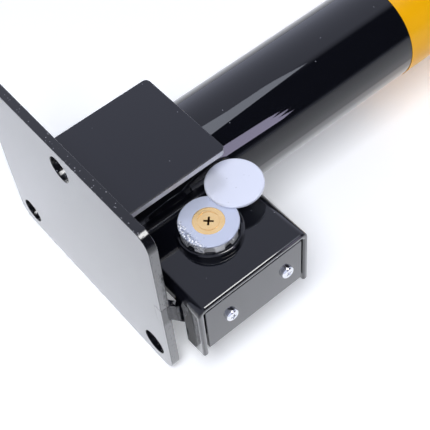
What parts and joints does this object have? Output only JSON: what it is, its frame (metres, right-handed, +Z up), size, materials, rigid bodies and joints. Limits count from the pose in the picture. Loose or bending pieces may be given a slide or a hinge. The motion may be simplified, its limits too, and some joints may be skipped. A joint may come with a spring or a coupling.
{
  "type": "folding parking barrier",
  "caption": "Folding steel parking post with yellow bands on a bolt-down base, hinge pin between cheeks and a keyed cam lock box.",
  "frame": {"origin": "on the underside of the base plate, where the tube's axis meets the ground", "axes": "+Z up along the standing post, +X towards the lock box, -Y towards the lock's face"},
  "size_m": [0.1591, 0.12, 0.65],
  "materials": {
    "black_paint": "gloss",
    "cover_paint": "satin",
    "yellow_film": "gloss",
    "zinc_steel": "satin",
    "chrome": "polished",
    "brass": "brushed",
    "black_plastic": "satin"
  },
  "bodies": {
    "base": {"base_plate": "black_paint", "front_cheek": "black_paint", "rear_cheek": "black_paint", "cheek_welds": "black_paint", "lock_tongue": "black_paint", "tongue_weld": "black_paint", "hinge_pin": "zinc_steel"},
    "post": {"post_tube": "black_paint", "pivot_sleeve": "zinc_steel", "post_cap": "black_plastic", "lower_yellow_band": "yellow_film", "upper_yellow_band": "yellow_film", "lock_box": "black_paint", "box_cover": "cover_paint", "lower_cover_tab": "black_paint", "upper_cover_tab": "black_paint", "lower_cover_screw": "zinc_steel", "upper_cover_screw": "zinc_steel", "lock_collar": "black_paint", "lock_housing": "chrome", "lock_washer": "zinc_steel", "lock_nut": "zinc_steel"},
    "plug": {"lock_plug": "brass", "lock_cam": "zinc_steel", "cam_nut": "zinc_steel"},
    "cap": {"dust_cap": "chrome"}
  },
  "joints": [
    {"name": "post_fold", "type": "hinge", "parent": "base", "child": "post", "pos_m": [0, 0, 0.048], "axis": [0, -1, 0], "range_deg": [0, 90]},
    {"name": "lock_turn", "type": "hinge", "parent": "post", "child": "plug", "pos_m": [0.0492, 0, 0.0454], "axis": [0, -1, 0], "range_deg": [0, 90]},
    {"name": "cap_swing", "type": "hinge", "parent": "post", "child": "cap", "pos_m": [0.04667, -0.0189, 0.05785], "axis": [0, 1, 0], "range_deg": [0, 195]}
  ]
}
